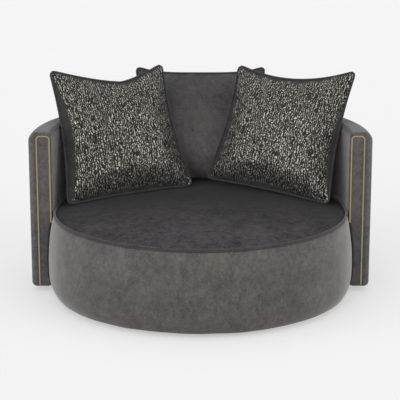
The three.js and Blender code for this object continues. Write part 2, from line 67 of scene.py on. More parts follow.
SHELL_TOP = shell_high.z
SHELL_RADIUS = (shell_high.x - shell_low.x) / 2
BOARD_RADIUS = (board_high.x - board_low.x) / 2
BOARD_TOP = board_high.z
WELT_HEIGHT = (welt_low.z + welt_high.z) / 2
SEAT_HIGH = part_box("seat_cover")[1].z
SEAT_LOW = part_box("seat_foam")[0].z

# Sizes that the covers share with the frame, in metres
GAP = 0.0003
FABRIC = 0.0025
BULGE_HEIGHT = 0.132
FOOT_DRAW_IN = 0.024
TOP_DRAW_IN = 0.0255
UPPER_SWELL_POWER = 2.2
LOWER_SWELL_POWER = 3.4
TUCK_WIDTH = 0.046
CROWN_POWER = 2.6
SHELL_WIDTH = 0.100
SHELL_INNER_RADIUS = SHELL_RADIUS - SHELL_WIDTH
SHELL_FOOT_ROUND = 0.022
SHELL_OUTER_ROUND = 0.040
SHELL_INNER_ROUND = 0.016
SHELL_TUCK = 0.048
SHELL_PADDING = 0.012
SHELL_BOARD = 0.004
RAIL_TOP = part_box("shell_top_rail")[1].z
DRUM_CLEARANCE = 0.004
ARM_REACH = 0.024
ARM_ROUND = 0.0075

# How finely round forms are divided
DRUM_STEPS = 192
SHELL_STEPS = 120
ARC_STEPS = 8
WALL_STEPS = 26
CROWN_STEPS = 22
WAVE_KIND = (1.0, 2.0, 3)  # roughness, fineness and number of its layers
FULL_TURN = 2 * math.pi
MERGE_DISTANCE = 0.00005
SMOOTH_ANGLE = math.radians(50)


def edit_mode():
    bpy.ops.object.mode_set(mode="EDIT")


def object_mode():
    bpy.ops.object.mode_set(mode="OBJECT")


def select_everything():
    bpy.ops.mesh.select_all(action="SELECT")


def extrude(step):
    bpy.ops.mesh.extrude_region_move(TRANSFORM_OT_translate={"value": step})


def merge_doubles():
    bpy.ops.mesh.remove_doubles(threshold=MERGE_DISTANCE)


def turn_faces_outwards():
    bpy.ops.mesh.normals_make_consistent(inside=False)


def clear_selection():
    """Leaves edit mode and selects nothing."""
    if bpy.context.object is not None and bpy.context.object.mode != "OBJECT":
        object_mode()
    bpy.ops.object.select_all(action="DESELECT")


def named(name):
    """The object just added, under this name."""
    piece = bpy.context.object
    piece.name = name
    piece.data.name = name
    return piece


def make_active(piece):
    clear_selection()
    piece.select_set(True)
    bpy.context.view_layer.objects.active = piece


def apply_modifier(piece, modifier):
    make_active(piece)
    bpy.ops.object.modifier_apply(modifier=modifier.name)


def placed(name, data):
    """A new object in the scene."""
    made = bpy.data.objects.new(name, data)
    bpy.context.scene.collection.objects.link(made)
    return made


def around(radius, height, angle=0.0):
    """A place on the drum's axis system."""
    across = Vector((radius * math.cos(angle), radius * math.sin(angle), height))
    return DRUM_AXIS + across


def arc(centre, radius, first, last, steps=ARC_STEPS):
    """Places (radius, height) on a round corner, both ends included."""
    angles = [first + (last - first) * i / steps for i in range(steps + 1)]
    return [(centre[0] + radius * math.cos(a), centre[1] + radius * math.sin(a)) for a in angles]


def drawn_outline(name, points):
    """Draws a closed line by extruding one corner of a small plane round it, and stays in edit mode."""
    clear_selection()
    bpy.ops.mesh.primitive_plane_add(size=FABRIC, location=points[0])
    piece = named(name)
    bpy.ops.object.transform_apply()
    edit_mode()
    bpy.ops.mesh.select_mode(type="VERT")
    bpy.ops.mesh.merge(type="CENTER")
    here = points[0]
    for there in points[1:] + points[:1]:
        extrude(there - here)
        here = there
    select_everything()
    merge_doubles()
    return piece


def close_up(piece):
    """Merges doubles, turns the faces outwards and shades the piece."""
    select_everything()
    merge_doubles()
    turn_faces_outwards()
    object_mode()
    bpy.ops.object.shade_smooth_by_angle(angle=SMOOTH_ANGLE)
    return piece


def spin_section(turn, steps):
    select_everything()
    bpy.ops.mesh.spin(steps=steps, angle=turn, center=DRUM_AXIS, axis=(0, 0, 1))


def turned_ring(name, section):
    """A body turned all round on the drum's axis from a closed section of (radius, height)."""
    piece = drawn_outline(name, [around(*place) for place in section])
    spin_section(FULL_TURN, DRUM_STEPS)
    return close_up(piece)


def select_places(piece, test, kind="VERT"):
    """Selects the vertices or faces whose middle passes the test, in edit mode."""
    bpy.ops.mesh.select_all(action="DESELECT")
    object_mode()
    bpy.context.tool_settings.mesh_select_mode = (kind == "VERT", False, kind == "FACE")
    for part in piece.data.vertices if kind == "VERT" else piece.data.polygons:
        part.select = test(part.co if kind == "VERT" else part.center)
    edit_mode()


def half_ring(name, section):
    """A body turned half round behind the drum's axis, with its two ends drawn forward."""
    piece = drawn_outline(name, [around(*place) for place in section])
    spin_section(-math.pi, SHELL_STEPS)
    select_everything()
    merge_doubles()
    forward = (0, ARM_ROUND - ARM_REACH, 0)
    for side in (1, -1):
        select_places(piece, lambda place: place.y < DRUM_AXIS.y + GAP and place.x * side > 0)
        extrude(forward)
        bpy.ops.mesh.edge_face_add()
    return close_up(piece)


def rumple(piece, depth, grain, shift, freedom):
    """Moves a cover in and out by a gentle wave, as stuffed cloth does, where its place leaves it free."""
    for vertex in piece.data.vertices:
        wave = noise.fractal((vertex.co + shift) / grain, *WAVE_KIND)
        vertex.co += vertex.normal * depth * wave * freedom(vertex.co)


def dress(piece, material, body, slot, *nodes):
    """Gives a finished piece its material and the body it rides on, and hides the nodes it stands for."""
    piece.data.materials.clear()
    piece.data.materials.append(material)
    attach(piece, body)
    if nodes:
        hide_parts(*nodes)


# Drum

def wall_radius(height):
    above = height > BULGE_HEIGHT
    end = WALL_TOP if above else DRUM_BOTTOM
    draw_in = TOP_DRAW_IN if above else FOOT_DRAW_IN
    share = (height - BULGE_HEIGHT) / (end - BULGE_HEIGHT)
    return BULGE_RADIUS - draw_in * share ** (UPPER_SWELL_POWER if above else LOWER_SWELL_POWER)


DRUM_FOOT_RADIUS = BULGE_RADIUS - FOOT_DRAW_IN
DRUM_TOP_RADIUS = BULGE_RADIUS - TOP_DRAW_IN
GROOVE_ROUND = 0.007
CORD_DROP = 0.42 * math.pi  # how far below its sides the welt's round goes on


def groove_depth(height):
    """How far the wall's top edge rolls in under the welt."""
    climb = max(0.0, height - WALL_TOP + GROOVE_ROUND)
    return GROOVE_ROUND - math.sqrt(GROOVE_ROUND ** 2 - climb ** 2)


def drum_wall_section():
    """The wall's outer face from the tuck under the foot up to the welt, and down inside the padding."""
    shares = [0.5 - 0.5 * math.cos(math.pi * i / WALL_STEPS) for i in range(WALL_STEPS + 1)]
    heights = [DRUM_BOTTOM + (WALL_TOP - DRUM_BOTTOM) * share for share in shares]
    outside = [(wall_radius(height) - groove_depth(height), height) for height in heights]
    inner = BOARD_RADIUS + GAP
    rise = FABRIC + GAP
    return [
        (inner, DRUM_BOTTOM + rise),
        (DRUM_FOOT_RADIUS - TUCK_WIDTH, DRUM_BOTTOM + rise),
        (DRUM_FOOT_RADIUS - TUCK_WIDTH, DRUM_BOTTOM),
        *outside,
        (DRUM_TOP_RADIUS - GROOVE_ROUND - FABRIC, WALL_TOP),
        (DRUM_TOP_RADIUS - GROOVE_ROUND - rise, BOARD_TOP),
        (inner, BOARD_TOP),
    ]


def seat_radius(look):
    return DRUM_TOP_RADIUS + FABRIC - look.welt_thickness - GAP


def seat_section(look):
    """The seat's crown from its middle out, its edge turned down beside the welt, and its underside."""
    edge = seat_radius(look)
    shares = [math.sin(math.pi / 2 * i / CROWN_STEPS) for i in range(CROWN_STEPS + 1)]
    crown = [(edge * s, WELT_HEIGHT + (SEAT_HIGH - WELT_HEIGHT) * (1 - s ** CROWN_POWER)) for s in shares]
    side = BOARD_TOP + GAP
    return [
        *crown,
        (edge + FABRIC / 2, WELT_HEIGHT - look.welt_thickness),
        (edge, side),
        (BOARD_RADIUS - SHELL_BOARD - GAP, side),
        (BOARD_RADIUS - SHELL_BOARD - GAP, SEAT_LOW),
        (0.0, SEAT_LOW),
    ]


def welt_section(look):
    """A round cord in its cover, with the flange that is sewn in between wall and seat."""
    half = look.welt_thickness / 2
    centre = (DRUM_TOP_RADIUS + FABRIC - half, WELT_HEIGHT)
    tail = FABRIC / 4
    foot = WELT_HEIGHT - look.welt_thickness
    cord = arc(centre, half, -CORD_DROP, math.pi + CORD_DROP, 2 * ARC_STEPS)
    return [*cord, (centre[0] - tail, foot), (centre[0] + tail, foot)]


def sheet_grid(name, across, along, steps_across, steps_along):
    """A flat sheet of the given size in edit mode, divided evenly."""
    clear_selection()
    bpy.ops.mesh.primitive_grid_add(x_subdivisions=steps_across, y_subdivisions=steps_along, size=1)
    piece = named(name)
    edit_mode()
    select_everything()
    bpy.ops.transform.resize(value=(across, along, 1))
    return piece


def thicken(piece, thickness):
    """Gives a sheet its thickness upwards."""
    object_mode()
    layer = piece.modifiers.new("Thickness", "SOLIDIFY")
    layer.thickness = thickness
    layer.offset = 1.0
    apply_modifier(piece, layer)


WEB_THICKNESS = 0.0016
WEB_RIB_DEPTH = 0.0002
WEB_WAIST = 0.0015
WEB_WAIST_POWER = 4
WEB_RIBS = 6
WEB_CELLS = (28, 40)


def strap(node_name):
    """One strap of elastic webbing in its solid's place, a little narrower between its tacked ends."""
    low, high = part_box(node_name)
    size = high - low
    lengthwise = size.y > size.x
    width, length = min(size.x, size.y), max(size.x, size.y)
    piece = sheet_grid(node_name + "_web", width, length, *WEB_CELLS)
    object_mode()
    for vertex in piece.data.vertices:
        share = 2 * vertex.co.y / length
        vertex.co.x *= 1 - 2 * WEB_WAIST / width * (1 - share ** WEB_WAIST_POWER)
        vertex.co.z = WEB_RIB_DEPTH * math.cos(WEB_RIBS * FULL_TURN * vertex.co.x / width)
    edit_mode()
    select_everything()
    if not lengthwise:
        bpy.ops.transform.rotate(value=math.pi / 2, orient_axis="Z", center_override=(0, 0, 0))
    middle = (low + high) / 2
    bpy.ops.transform.translate(value=(middle.x, middle.y, low.z + WEB_RIB_DEPTH))
    thicken(piece, WEB_THICKNESS)
    return piece, width, length


LINING_THICKNESS = 0.0005
LINING_RINGS = 10
LINING_CORNERS = 96
LINING_WAVE = 0.12
LINING_SLACK_POWER = 3
STAPLE_COUNT = 44
STAPLE_WIDTH = 0.010
STAPLE_WIRE = 0.0010
STAPLE_FLATNESS = 0.6


def dust_cover():
    """The black lining under the drum: a round sheet in rings, tight at its rim and slack between."""
    low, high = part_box("drum_dust_cover")
    radius = (high.x - low.x) / 2
    rest = low.z + FABRIC / 2
    clear_selection()
    bpy.ops.mesh.primitive_circle_add(
        vertices=LINING_CORNERS, radius=radius, fill_type="NGON", location=around(0, rest)
    )
    piece = named("dust_cover")
    bpy.ops.object.transform_apply()
    edit_mode()
    select_everything()
    for _ in range(LINING_RINGS):
        bpy.ops.mesh.inset(thickness=radius / (LINING_RINGS + 1))
    bpy.ops.mesh.poke()
    object_mode()
    for vertex in piece.data.vertices:
        reach = (vertex.co - DRUM_AXIS).xy.length / radius
        slack = FABRIC / 4 * (1 - reach ** LINING_SLACK_POWER)
        vertex.co.z += slack * noise.noise(vertex.co / LINING_WAVE)
    thicken(piece, LINING_THICKNESS)
    return piece, radius, low.z


def staple():
    """One staple over the lining: its crown drawn out of a small cube, with two short legs."""
    clear_selection()
    bpy.ops.mesh.primitive_cube_add(size=STAPLE_WIRE)
    piece = bpy.context.object
    edit_mode()
    select_everything()
    bpy.ops.transform.resize(value=(STAPLE_WIDTH / STAPLE_WIRE, 1, STAPLE_FLATNESS))
    for side in (1, -1):
        select_places(piece, lambda place: place.x * side > 0, "FACE")
        leg = (side * STAPLE_WIRE, 0, STAPLE_WIRE)
        extrude(leg)
    object_mode()
    return piece


def staples(radius, height):
    """Copies of one staple all round the lining's rim, joined into one piece."""
    first = staple()
    clear_selection()
    for i in range(STAPLE_COUNT):
        angle = FULL_TURN * i / STAPLE_COUNT
        copy = placed("staple", first.data.copy())
        place = around(radius, height, angle)
        copy.data.transform(Matrix.Translation(place) @ Matrix.Rotation(angle + math.pi / 2, 4, "Z"))
        copy.select_set(True)
        bpy.context.view_layer.objects.active = copy
    bpy.ops.object.join()
    row = named("dust_cover_staples")
    bpy.data.objects.remove(first)
    return row


# Shell

TOP_FOOT = (SHELL_INNER_RADIUS + SHELL_INNER_ROUND, SHELL_TOP - SHELL_INNER_ROUND)
SEAM_HEIGHT = TOP_FOOT[1]
SEAM_ROUND = 0.003
SEAM_TURN = 0.96 * math.pi
ARM_INSIDE_MARGIN = 0.02
OUTER_BOARD_RADIUS = SHELL_RADIUS - FABRIC - SHELL_PADDING - GAP
INNER_BOARD_RADIUS = BULGE_RADIUS + DRUM_CLEARANCE


def outer_face():
    """The outer cover's face: under the foot, up the outside, and over the top to the seam."""
    foot = (SHELL_RADIUS - SHELL_FOOT_ROUND, SHELL_BOTTOM + SHELL_FOOT_ROUND)
    brow = (SHELL_RADIUS - SHELL_OUTER_ROUND, SHELL_TOP - SHELL_OUTER_ROUND)
    side = [(SHELL_RADIUS, foot[1] + (brow[1] - foot[1]) * i / WALL_STEPS) for i in range(1, WALL_STEPS)]
    return [
        (SHELL_RADIUS - SHELL_TUCK, SHELL_BOTTOM),
        *arc(foot, SHELL_FOOT_ROUND, -math.pi / 2, 0),
        *side,
        *arc(brow, SHELL_OUTER_ROUND, 0, math.pi / 2),
        *arc(TOP_FOOT, SHELL_INNER_ROUND, math.pi / 2, SEAM_TURN),
    ]


def shell_outside_section():
    rise = FABRIC + GAP
    inner = SHELL_INNER_RADIUS + rise
    return [
        *outer_face(),
        (SHELL_INNER_RADIUS + SEAM_ROUND / 2, SEAM_HEIGHT + SEAM_ROUND / 4),
        (SHELL_INNER_RADIUS + SEAM_ROUND, SEAM_HEIGHT),
        (inner + SEAM_ROUND, RAIL_TOP + GAP),
        (OUTER_BOARD_RADIUS, RAIL_TOP + GAP),
        (OUTER_BOARD_RADIUS, SHELL_BOTTOM + 2 * SHELL_BOARD),
        (SHELL_RADIUS - SHELL_TUCK, SHELL_BOTTOM + rise),
    ]


def shell_inside_section():
    """The inner cover's face from the seam down to the seat, and its padding behind."""
    bottom = WALL_TOP + DRUM_CLEARANCE
    face = SHELL_INNER_RADIUS
    drop = SEAM_HEIGHT - bottom - SEAM_ROUND
    side = [(face, SEAM_HEIGHT - SEAM_ROUND / 2 - drop * i / WALL_STEPS) for i in range(1, WALL_STEPS)]
    return [
        (face + SEAM_ROUND, SEAM_HEIGHT - GAP),
        (face + SEAM_ROUND / 3, SEAM_HEIGHT - SEAM_ROUND / 4),
        *side,
        (face, bottom),
        (INNER_BOARD_RADIUS - GAP, bottom),
        (INNER_BOARD_RADIUS - GAP, RAIL_TOP - GAP),
        (face + SEAM_ROUND, RAIL_TOP - GAP),
    ]


def arm_front_outline():
    """The right arm front's outline (x, z): the shell's section, a hair smaller, and the drum's swell."""
    inner = 1 - 2 * ARM_INSIDE_MARGIN
    inner_shares = [1 - ARM_INSIDE_MARGIN - inner * i / WALL_STEPS for i in range(WALL_STEPS + 1)]
    heights = [SHELL_BOTTOM + (WALL_TOP - SHELL_BOTTOM) * share for share in inner_shares]
    inside = [(wall_radius(height) + DRUM_CLEARANCE, height) for height in heights]
    outline = [
        (SHELL_INNER_RADIUS + SHELL_PADDING + SHELL_INNER_ROUND, SHELL_BOTTOM),
        *outer_face()[1:-1],
        (SHELL_INNER_RADIUS, SEAM_HEIGHT),
        (SHELL_INNER_RADIUS, WALL_TOP + DRUM_CLEARANCE),
        *inside,
    ]
    middle = SHELL_RADIUS - SHELL_WIDTH / 2
    centre = (SHELL_BOTTOM + SHELL_TOP) / 2
    narrower = 1 - 2 * GAP / SHELL_WIDTH
    lower = 1 - 2 * GAP / (SHELL_TOP - SHELL_BOTTOM)
    return [(middle + (x - middle) * narrower, centre + (z - centre) * lower) for x, z in outline]


def arm_front(name, side):
    """A flat front panel: its outline filled, drawn forward and rounded at the edge."""
    back = DRUM_AXIS.y - GAP
    piece = drawn_outline(name, [Vector((side * x, back, z)) for x, z in arm_front_outline()])
    bpy.ops.mesh.edge_face_add()
    extrude((0, GAP - ARM_REACH, 0))
    select_everything()
    turn_faces_outwards()
    object_mode()
    soften = piece.modifiers.new("Rounded edge", "BEVEL")
    soften.limit_method = "WEIGHT"
    weights = piece.data.attributes.new("bevel_weight_edge", "FLOAT", "EDGE")
    front = DRUM_AXIS.y - ARM_REACH
    for edge in piece.data.edges:
        ends = [piece.data.vertices[i].co.y for i in edge.vertices]
        weights.data[edge.index].value = 1.0 if max(ends) < front + GAP else 0.0
    soften.width = ARM_ROUND
    soften.segments = ARC_STEPS // 2
    apply_modifier(piece, soften)
    bpy.ops.object.shade_smooth_by_angle(angle=SMOOTH_ANGLE)
    return piece


# Cushions

CUSHION_WIDTH = 0.600
CUSHION_THICKNESS = 0.172
BACK_HEIGHT = 0.528
SCATTER_HEIGHT = 0.600
SIDE_PULL = 0.022
FOOT_PULL = 0.010
CORNER_CUT = 0.010
CORNER_POWER = 29
FULLNESS = 0.42
SEAM_BITE = 0.001
CUSHION_CELLS = 72
EVEN_SHARE = 0.25
START_SWELL_SHARE = 0.86
START_RUMPLE = 0.004
START_GRAIN = 0.06
START_EDGE = 0.02
SWELL_CAP = 0.026
PIPING_STEPS = 96
LAST_FRAME = 20
CLOTH = {
    "quality": 6,
    "mass": 0.3,
    "tension_stiffness": 20,
    "compression_stiffness": 20,
    "shear_stiffness": 8,
    "bending_stiffness": 0.6,
    "use_pressure": True,
    "uniform_pressure_force": 4.0,
    "shrink_min": -0.035,
}


class CushionForm:
    """One cushion: its sewn outline, how its top has sagged, and how it leans, turns and rolls."""

    def __init__(self, name, height, sag, narrowing, slump, pose, shift):
        self.name = name
        self.height = height
        self.sag_depth, self.sag_power, self.sag_place = sag
        self.narrowing = narrowing
        self.slump, self.inner_side = slump
        lean, turn, roll = (math.radians(angle) for angle in pose)
        leaning = Matrix.Rotation(-lean, 4, "X") @ Matrix.Rotation(roll, 4, "Y")
        self.pose = Matrix.Rotation(turn, 4, "Z") @ leaning
        self.shift = Vector(shift)


BACK = CushionForm(
    "back_cushion", BACK_HEIGHT, (0.0318, 4, 0), 0.0, (0.0, 1), (15, 0, 0), (4.1, 2.3, 0.7)
)
LEFT = CushionForm(
    "scatter_cushion_left",
    SCATTER_HEIGHT,
    sag=(0.0738, 1.4, 0.2),
    narrowing=0.033,
    slump=(0.030, 1),
    pose=(22, 23.5, -2.8),
    shift=(1.3, 7.9, 3.1),
)
RIGHT = CushionForm(
    "scatter_cushion_right",
    SCATTER_HEIGHT,
    sag=(0.054, 2, 0),
    narrowing=0.0228,
    slump=(0.0648, -1),
    pose=(21, -24.5, 5.8),
    shift=(9.2, 0.4, 5.6),
)


def pillow_place(u, v, form, swell):
    """A place on a cushion's face; u and v run from -1 to 1 across it and up it."""
    up_share = (1 + v) / 2
    half_width = CUSHION_WIDTH / 2 - form.narrowing * up_share
    corner = CORNER_CUT * abs(u * v) ** CORNER_POWER
    sunk = form.slump * up_share * (1 + u * form.inner_side) / 2
    off = u - form.sag_place
    from_sag = off / (1 - math.copysign(form.sag_place, off * form.sag_place))
    pull = FOOT_PULL * (1 - u * u)
    if v > 0:
        pull = form.sag_depth * (1 - abs(from_sag) ** form.sag_power)
    x = u * (half_width - SIDE_PULL * abs(u) * (1 - v * v)) - math.copysign(corner, u)
    z = v * (form.height / 2 - pull * abs(v)) - math.copysign(corner, v) - sunk
    depth = swell * max(0.0, (1 - u * u) * (1 - v * v)) ** FULLNESS
    return Vector((x, -depth, form.height / 2 + z))


def eased(share):
    """Cells get narrower towards the seam, where the cushion curves most."""
    return EVEN_SHARE * share + (1 - EVEN_SHARE) * math.sin(math.pi / 2 * share)


def pillow_panel(form, facing):
    """One panel of a cushion, a grid put to its stuffed form; facing is 1 in front and -1 behind."""
    clear_selection()
    bpy.ops.mesh.primitive_grid_add(x_subdivisions=CUSHION_CELLS, y_subdivisions=CUSHION_CELLS, size=2)
    panel = bpy.context.object
    swell = START_SWELL_SHARE * CUSHION_THICKNESS / 2
    for vertex in panel.data.vertices:
        u, v = eased(vertex.co.x), eased(vertex.co.y)
        place = pillow_place(u, v, form, swell)
        vertex.co = Vector((place.x, facing * place.y, place.z))
    sheet = panel.data.uv_layers[0]
    for corner in sheet.data:
        u, v = eased(2 * corner.uv.x - 1), eased(2 * corner.uv.y - 1)
        corner.uv = (u * CUSHION_WIDTH / 2, v * form.height / 2)
    if facing < 0:
        edit_mode()
        select_everything()
        bpy.ops.mesh.flip_normals()
        object_mode()
    return panel


def sewn_pillow(form):
    """The two panels sewn at their edge."""
    front = pillow_panel(form, 1)
    rear = pillow_panel(form, -1)
    for panel, number in ((front, 0), (rear, 1)):
        panel.data.materials.append(bpy.data.materials.new("panel"))
        panel.data.materials.append(bpy.data.materials.new("panel"))
        for face in panel.data.polygons:
            face.material_index = number
    make_active(front)
    rear.select_set(True)
    bpy.ops.object.join()
    edit_mode()
    select_everything()
    merge_doubles()
    object_mode()
    front.name = form.name
    return front


def plump(pillow, form):
    """Blows the cushion up with slack in its cloth, so that it creases, and keeps the seam where it is."""
    seam = pillow.vertex_groups.new(name="seam")
    held = [v.index for v in pillow.data.vertices if abs(v.co.y) < MERGE_DISTANCE]
    seam.add(held, 1.0, "REPLACE")
    start = [v.co.copy() for v in pillow.data.vertices]
    rumple(pillow, START_RUMPLE, START_GRAIN, form.shift, lambda place: min(1.0, abs(place.y) / START_EDGE))
    cloth = pillow.modifiers.new("Cloth", "CLOTH")
    settings = cloth.settings
    for name, value in CLOTH.items():
        setattr(settings, name, value)
    settings.vertex_group_mass = seam.name
    settings.effector_weights.gravity = 0
    for number in range(1, LAST_FRAME + 1):
        bpy.context.scene.frame_set(number)
    apply_modifier(pillow, cloth)
    bpy.context.scene.frame_set(1)
    for vertex, before in zip(pillow.data.vertices, start):
        move = vertex.co - before
        if move.length > SWELL_CAP:
            vertex.co = before + move.normalized() * SWELL_CAP


def hold_within(pillow):
    """Scales the depth so that the cushion fills its solid and no more."""
    full = CUSHION_THICKNESS / 2
    deepest = max(abs(v.co.y) for v in pillow.data.vertices)
    for vertex in pillow.data.vertices:
        vertex.co.y *= full / deepest


def piping_route(form, look):
    """The piping's line round the cushion, set off square to the seam."""
    shares = [math.sin(math.pi / 2 * (2 * i / PIPING_STEPS - 1)) for i in range(PIPING_STEPS)]
    foot = [(share, -1) for share in shares]
    right = [(1, share) for share in shares]
    top = [(-share, 1) for share in shares]
    left = [(-1, -share) for share in shares]
    seam = [pillow_place(u, v, form, 0.0) for u, v in (*foot, *right, *top, *left)]
    out = look.piping_thickness / 2 - SEAM_BITE
    route = []
    for i, here in enumerate(seam):
        along = (seam[(i + 1) % len(seam)] - seam[i - 1]).normalized()
        route.append(here + out * Vector((along.z, 0, -along.x)))
    return route


def cushion_pose(form, look):
    """Leans, turns and rolls a cushion, and brings it to the place of its solid."""
    places = [form.pose @ place for place in piping_route(form, look)]
    low = Vector([min(place[i] for place in places) for i in range(3)])
    high = Vector([max(place[i] for place in places) for i in range(3)])
    solid_low, solid_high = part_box(form.name + "_piping")
    return Matrix.Translation((solid_low + solid_high - low - high) / 2) @ form.pose


def piping(form, look):
    """A round cord sewn all round the cushion, a curve with a round bevel made a mesh."""
    clear_selection()
    line = bpy.data.curves.new(form.name + "_piping_line", "CURVE")
    line.dimensions = "3D"
    line.bevel_depth = look.piping_thickness / 2
    line.bevel_resolution = 3
    line.use_fill_caps = False
    spline = line.splines.new("POLY")
    route = piping_route(form, look)
    spline.points.add(len(route) - 1)
    for spot, place in zip(spline.points, route):
        spot.co = (*place, 1.0)
    spline.use_cyclic_u = True
    make_active(placed(form.name + "_cord", line))
    bpy.ops.object.convert(target="MESH")
    cord = bpy.context.object
    cord.name = form.name + "_cord"
    bpy.ops.object.shade_smooth()
    return cord


def split_panels(pillow):
    """Parts the front panel from the rear one and backs each with its own inner face."""
    make_active(pillow)
    edit_mode()
    bpy.ops.mesh.separate(type="MATERIAL")
    object_mode()
    panels = [o for o in bpy.context.selected_objects if o.type == "MESH"]
    panels.sort(key=lambda o: sum(v.co.y for v in o.data.vertices))
    for panel in panels:
        make_active(panel)
        edit_mode()
        bpy.ops.mesh.select_all(action="DESELECT")
        bpy.ops.mesh.select_mode(type="EDGE")
        bpy.ops.mesh.select_non_manifold()
        bpy.ops.mesh.edge_face_add()
        select_everything()
        turn_faces_outwards()
        object_mode()
        bpy.ops.object.shade_smooth_by_angle(angle=SMOOTH_ANGLE)
    return panels


def cushion(form, look, front_material, front_slot, velvet):
    pillow = sewn_pillow(form)
    plump(pillow, form)
    hold_within(pillow)
    front, rear = split_panels(pillow)
    front.name = form.name + "_face"
    rear.name = form.name + "_back"
    cord = piping(form, look)
    pose = cushion_pose(form, look)
    for piece in (front, rear, cord):
        piece.data.transform(pose)
    dress(front, front_material, form.name, front_slot, form.name + "_front_cover", form.name + "_filling")
    dress(rear, velvet, form.name, "velvet", form.name + "_rear_cover")
    dress(cord, finish("Piping velvet", look), form.name, "velvet", form.name + "_piping")


# Materials

NODE_SPACING = 180
NOISE_MIDDLE = 0.5


class Wire:
    """A value in a node tree; arithmetic with it adds the maths nodes that work out the result."""

    def __init__(self, socket):
        self.socket = socket
        self.tree = socket.id_data

    def __add__(self, other):
        return maths("ADD", self, other)

    def __sub__(self, other):
        return maths("SUBTRACT", self, other)

    def __rsub__(self, other):
        return maths("SUBTRACT", other, self)

    def __mul__(self, other):
        return maths("MULTIPLY", self, other)

    def __truediv__(self, other):
        return maths("DIVIDE", self, other)

    def __rtruediv__(self, other):
        return maths("DIVIDE", other, self)


def feed(sockets, values):
    """Feeds sockets, by name or number, from wires, or sets their values."""
    for name, value in values.items():
        socket = sockets[name]
        if isinstance(value, Wire):
            value.tree.links.new(value.socket, socket)
        elif socket.type == "RGBA":
            socket.default_value = (*value, 1.0)
        else:
            socket.default_value = value


def add_node(tree, kind, inputs=None, **settings):
    made = tree.nodes.new(kind)
    made.location = (NODE_SPACING * len(tree.nodes), 0)
    for name, value in settings.items():
        setattr(made, name, value)
    feed(made.inputs, inputs or {})
    return made


def wire(tree, kind, inputs, **settings):
    """The first output of a new node."""
    return Wire(add_node(tree, kind, inputs, **settings).outputs[0])


def maths(operation, first, second=0.5, clamp=False):
    tree = first.tree if isinstance(first, Wire) else second.tree
    return wire(tree, "ShaderNodeMath", {0: first, 1: second}, operation=operation, use_clamp=clamp)


def remap(value, low, high, new_low=0.0, new_high=1.0):
    """Carries a value smoothly from one range to another, and holds it there."""
    ranges = {"Value": value, "From Min": low, "From Max": high, "To Min": new_low, "To Max": new_high}
    return wire(value.tree, "ShaderNodeMapRange", ranges, interpolation_type="SMOOTHSTEP")


def mixed(share, first, second):
    """A colour between two others."""
    made = add_node(share.tree, "ShaderNodeMix", {"Factor": share}, data_type="RGBA")
    feed([socket for socket in made.inputs if socket.type == "RGBA"], {0: first, 1: second})
    return Wire([socket for socket in made.outputs if socket.type == "RGBA"][0])


def shaded(colour, level):
    """A colour made darker or lighter."""
    return wire(colour.tree, "ShaderNodeVectorMath", {0: colour, "Scale": level}, operation="SCALE")


def noise_value(place, scale, detail=2.0, roughness=0.55, distortion=0.0):
    inputs = {"Vector": place, "Scale": scale, "Detail": detail}
    inputs.update({"Roughness": roughness, "Distortion": distortion})
    return wire(place.tree, "ShaderNodeTexNoise", inputs)


def stretched(place, scale, turn=(0.0, 0.0, 0.0)):
    return wire(place.tree, "ShaderNodeMapping", {"Vector": place, "Rotation": turn, "Scale": scale})


def axes(place):
    """The X, Y and Z of a place."""
    return [Wire(part) for part in add_node(place.tree, "ShaderNodeSeparateXYZ", {0: place}).outputs]


SOCKET_KINDS = {"Place": "Vector", "Colour": "Color", "Other colour": "Color"}


def add_sockets(tree, way, labels):
    for label in labels:
        kind = SOCKET_KINDS.get(label, "Float")
        tree.interface.new_socket(label, in_out=way, socket_type="NodeSocket" + kind)


def new_group(name, fill, labels):
    """A shader node group with inputs of these names; fill makes its nodes and gives its outputs by name."""
    tree = bpy.data.node_groups.new(name, "ShaderNodeTree")
    add_sockets(tree, "INPUT", labels)
    start = add_node(tree, "NodeGroupInput").outputs
    results = fill(*[Wire(start[label]) for label in labels])
    add_sockets(tree, "OUTPUT", results)
    feed(add_node(tree, "NodeGroupOutput").inputs, results)
    return tree


def grouped(name, fill, values):
    """Places a node group, made the first time it is asked for, with these values; gives its wires."""
    group = bpy.data.node_groups.get(name) or new_group(name, fill, values)
    made = add_node(values["Place"].tree, "ShaderNodeGroup", node_tree=group)
    feed(made.inputs, values)
    return {socket.name: Wire(socket) for socket in made.outputs}


def new_material(name):
    """A material with a Principled shader; gives it, the shader's sockets and the object coordinates."""
    material = bpy.data.materials.new(name)
    material.use_nodes = True
    tree = material.node_tree
    place = add_node(tree, "ShaderNodeTexCoord").outputs["Object"]
    return material, tree.nodes["Principled BSDF"].inputs, Wire(place)


def bump(shader, height, strength, distance):
    relief = {"Height": height, "Strength": strength, "Distance": distance}
    feed(shader, {"Normal": wire(height.tree, "ShaderNodeBump", relief)})


# Velvet: how much finer each kind of mark is than a patch, and its share of the shade
STROKE_FINENESS = 4.6
GRAIN_FINENESS = 15.0
CAST_FINENESS = 0.55
PATCH_SHARE = 0.25
STROKE_SHARE = 0.35
GRAIN_SHARE = 0.4
CONTRAST_GAIN = 4.0
FIBRE_SCALE = 900.0
FIBRE_SHARE = 0.35
SHEEN_ROUGHNESS = 0.4


